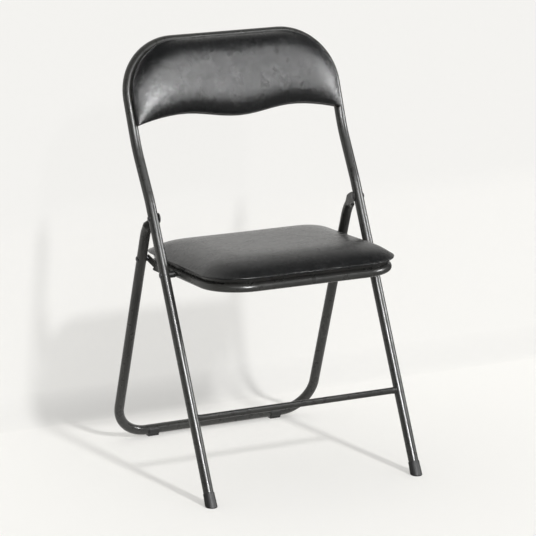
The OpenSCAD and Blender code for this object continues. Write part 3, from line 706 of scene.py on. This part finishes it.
# Edge of the back: the vinyl drawn round the board, with a thin welt where it meets the pad
wrapShape = {
    "points": 320,
    "inset": 0.0046,
    # distance out from the inset outline, distance before the middle of the tube
    "section": [(-0.0100, 0.0097), (-0.0016, 0.0097), (-0.0004, 0.0100), (0.0, 0.0107),
                (0.0001, 0.0126), (-0.0004, 0.0138), (-0.0010, 0.0142), (-0.0002, 0.0146),
                (0.0005, 0.0153), (0.0003, 0.0162), (-0.0006, 0.0168), (-0.0030, 0.0170),
                (-0.0100, 0.0168)],
}


# The section carried round the back's outline, closed behind the edge
def makeBackWrap(shape):
    rings = sectionRings(backPlan(backShape, shape["inset"], shape["points"]), shape["section"])
    faces = gridFaces(len(rings), shape["points"], closedRows=True)
    piece = addPiece("backWrap", np.concatenate(rings), faces, blackVinyl)
    piece.data.transform(backAxes)
    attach(piece, "front_body")


makeBackWrap(wrapShape)
print("back wrap made")

# Foot caps: rubber boots, a touch wider at the floor
capShape = {
    "lean": 26.7,
    "inward": 0.0019 / 0.5173,
    "spread": 0.2125,
    "points": 64,
    # radius, height over the floor
    "floorRings": [(0.0093, 0.0), (0.0103, 0.0), (0.0109, 0.0006), (0.0111, 0.0014), (0.0111, 0.0028)],
    # radius, distance along the leg
    "legRings": [(0.0108, 0.013), (0.0105, 0.019), (0.0105, 0.0246), (0.0103, 0.0254),
                 (0.0099, 0.0258), (0.0094, 0.0259), (0.0090, 0.0250)],
}


# Circles round the leg's line: the lowest are slid along it to their heights over the floor, and the
# others stand square on it
def makeFootCap(name, node, side, shape):
    leg = np.array([side * shape["inward"], math.tan(math.radians(shape["lean"])), 1.0])
    leg = leg / np.linalg.norm(leg)
    across = np.cross(leg, np.array([0.0, -1.0, 0.0]))
    across = across / np.linalg.norm(across)
    level = np.cross(leg, across)
    start = np.array([side * shape["spread"], footLine, 0.0])
    angles = np.linspace(0, 2 * math.pi, shape["points"], endpoint=False)
    circle = np.cos(angles)[:, None] * across + np.sin(angles)[:, None] * level
    rings = []
    for radius, height in shape["floorRings"]:
        ring = start + circle * radius
        rings.append(ring + leg * ((height - ring[:, 2]) / leg[2])[:, None])
    for radius, along in shape["legRings"]:
        rings.append(start + leg * along + circle * radius)
    piece = addPiece(name, *closedForm(rings), blackRubber)
    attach(piece, "front_body")
    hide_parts(node)


makeFootCap("leftFootCap", "left_foot_cap", -1, capShape)
makeFootCap("rightFootCap", "right_foot_cap", 1, capShape)
print("foot caps made")


# Lights: a key from the front right, softboxes that draw the highlights, and a pale room
lightLooks = {
    "key": {"azimuth": 11.0, "elevation": 35.0, "strength": 1.95, "angle": 5.0},
    # azimuth, elevation, distance, width, height, and glow in watts per square metre and steradian
    "softboxes": {
        "tall": (-38.0, 33.0, 3.2, 0.5, 0.6, 10.0),
        "front": (-3.0, 27.0, 3.2, 0.8, 0.8, 105.0),
        "line": (20.0, 38.0, 3.2, 0.2, 0.4, 16.0),
        "right": (68.0, 20.0, 3.0, 0.5, 0.7, 75.0),
        "over": (44.0, 52.0, 2.8, 0.3, 0.3, 45.0),
    },
    "aimHeight": 0.45,
    "room": 0.60,
    "roomInGloss": 0.03,
}

# The stage: a pale floor that sweeps up into a wall close behind the chair. The camera sees a share of
# it as a glow of its plain colour, and the rest with light and shadows on it; higher up the glow paints the
# shadows out
stageLooks = {
    "colour": tone(244, 243, 240),
    "grain": 0.995,            # darkest specks, share of the colour
    "floorReach": 7.0,
    "wallLine": 0.640,         # behind the front feet
    "wallHeight": 6.0,
    "coveRadius": 0.060,
    "plain": (0.36, 0.60),     # share of plain colour on the floor and on the wall
    "plainHigh": 0.96,         # and above the shadows
    "shadowTop": (0.26, 0.42),  # heights between which the shadows fade out
    "light": (0.62, 0.67),     # on a white surface, from the room and from the key straight on
    "mirrored": (1.02, 0.02),  # painted glow in reflections, of the lower wall and of the rest of it
    "mirroredFloor": 0.32,
    "mirroredTurn": (0.05, 0.35),  # distances behind the front feet, from the floor's to the wall's
    "fadeRight": (0.42, 0.95),     # places to the right, and heights, between which the wall's painted glow in reflections goes dark
    "fadeHigh": (1.35, 1.75),
}


def paleStage(name, looks):
    n = Nodes(name)
    where = n.where()
    colour = n.ramp(n.noise(where, 90.0, 2.0),
                    [(0.3, dimmed(looks["colour"], looks["grain"])), (0.7, looks["colour"])])
    split = n.add("ShaderNodeSeparateXYZ", {"Vector": where})
    aside, away, high = (split.outputs[axis] for axis in "XYZ")
    around = n.add("ShaderNodeNewGeometry").outputs
    normal = around["True Normal"]
    level = n.maths("ABSOLUTE", n.add("ShaderNodeSeparateXYZ", {"Vector": normal}).outputs["Z"])
    # Painted shade: the colour is darkened where the key falls harder, so the light brings every part of the stage
    # to its colour: shade = 1 / (room + key * facing)
    key = lightLooks["key"]
    towardsKey = awayFrom(key["azimuth"], key["elevation"])
    facing = n.add("ShaderNodeVectorMath", {0: normal, 1: towardsKey},
                   operation="DOT_PRODUCT").outputs["Value"]
    fromRoom, fromKey = looks["light"]
    bright = n.maths("ADD", n.maths("MULTIPLY", n.maths("ABSOLUTE", facing), fromKey), fromRoom)
    shaded = n.add("ShaderNodeVectorMath", {0: colour, "Scale": n.maths("DIVIDE", 1.0, bright)},
                   operation="SCALE").outputs[0]
    matt = n.add("ShaderNodeBsdfPrincipled", {"Base Color": shaded, "Roughness": 0.9,
                                              "Specular IOR Level": 0.2})
    # A glow of the plain colour, no lamp, seen by the camera in place of the lit stage
    plainGlow = n.add("ShaderNodeEmission", {"Color": colour, "Strength": 1.0})
    plain = n.maths("MAXIMUM", n.span(level, 1.0, 0.0, *looks["plain"]),
                    n.span(high, *looks["shadowTop"], 0.0, looks["plainHigh"]))
    path = n.add("ShaderNodeLightPath").outputs
    seen = n.maths("MULTIPLY", path["Is Camera Ray"], plain)
    mixed = n.add("ShaderNodeMixShader", {0: seen, 1: matt.outputs[0], 2: plainGlow.outputs[0]})
    # In reflections the stage shows a painted glow, not its lit colour: only the lower wall behind the chair glows
    # bright, as with a small backdrop
    turnStart, turnEnd = looks["mirroredTurn"]
    floorShare = n.span(away, footLine + turnStart, footLine + turnEnd, 1.0, 0.0)
    beyond = n.maths("MAXIMUM", n.span(high, *looks["fadeHigh"], 0.0, 1.0),
                     n.span(aside, *looks["fadeRight"], 0.0, 1.0))
    wallGlow = n.span(beyond, 0.0, 1.0, *looks["mirrored"])
    glow = n.span(floorShare, 0.0, 1.0, wallGlow, looks["mirroredFloor"])
    mirrored = n.add("ShaderNodeEmission", {"Color": colour, "Strength": glow})
    whole = n.add("ShaderNodeMixShader", {0: path["Is Glossy Ray"], 1: mixed.outputs[0],
                                          2: mirrored.outputs[0]})
    # Seen from behind, the wall lets the chair through
    clear = n.add("ShaderNodeBsdfTransparent")
    return n.finish(n.add("ShaderNodeMixShader", {0: around["Backfacing"], 1: whole.outputs[0],
                                                  2: clear.outputs[0]}))


# A profile of floor, round cove and wall, drawn out sideways
def makeStage(looks):
    reach, line, r = looks["floorReach"], footLine + looks["wallLine"], looks["coveRadius"]
    angles = np.linspace(0, math.pi / 2, 33)
    y = np.concatenate([[-reach], line - r + r * np.sin(angles), [line]])
    z = np.concatenate([[0], r - r * np.cos(angles), [looks["wallHeight"]]])
    x = np.array([-reach, reach])
    points = np.stack([np.repeat(x[None, :], len(y), 0), np.repeat(y[:, None], 2, 1),
                       np.repeat(z[:, None], 2, 1)], axis=-1)
    faces = gridFaces(len(y), 2, closedColumns=False)
    stage = addPiece("stage", points.reshape(-1, 3), faces, paleStage("paleStage", looks))


# The key, which casts the shadows and draws no highlight
def makeKey(looks):
    data = bpy.data.lights.new("keyLight", "SUN")
    data.energy, data.angle = looks["strength"], math.radians(looks["angle"])
    lamp = bpy.data.objects.new("keyLight", data)
    lamp.visible_glossy = False
    back = awayFrom(looks["azimuth"], looks["elevation"])
    lookBack(lamp, back * 4, back)


# A softbox, which only draws highlights. Its power = glow * pi * width * height
def makeSoftbox(name, azimuth, elevation, distance, width, height, glow):
    data = bpy.data.lights.new(name, "AREA")
    data.shape, data.size, data.size_y = "RECTANGLE", width, height
    data.energy = glow * math.pi * width * height
    lamp = bpy.data.objects.new(name, data)
    lamp.visible_diffuse = False
    back = awayFrom(azimuth, elevation)
    lookBack(lamp, Vector((0, 0, lightLooks["aimHeight"])) + back * distance, back)


# The room's even light, which is nearly dark in reflections
def makeRoom(looks):
    world = bpy.data.worlds.new("paleRoom")
    world.use_nodes = True
    nodes, links = world.node_tree.nodes, world.node_tree.links
    background = nodes["Background"]
    background.inputs["Color"].default_value = (1, 1, 1, 1)
    path = nodes.new("ShaderNodeLightPath")
    level = nodes.new("ShaderNodeMapRange")
    level.inputs["To Min"].default_value = looks["room"]
    level.inputs["To Max"].default_value = looks["roomInGloss"]
    links.new(path.outputs["Is Glossy Ray"], level.inputs["Value"])
    links.new(level.outputs["Result"], background.inputs["Strength"])
    scene.world = world


makeStage(stageLooks)
makeKey(lightLooks["key"])
for softbox, looks in lightLooks["softboxes"].items():
    makeSoftbox(softbox, *looks)
makeRoom(lightLooks)
scene.view_settings.view_transform = "Standard"
print("stage and lights made")
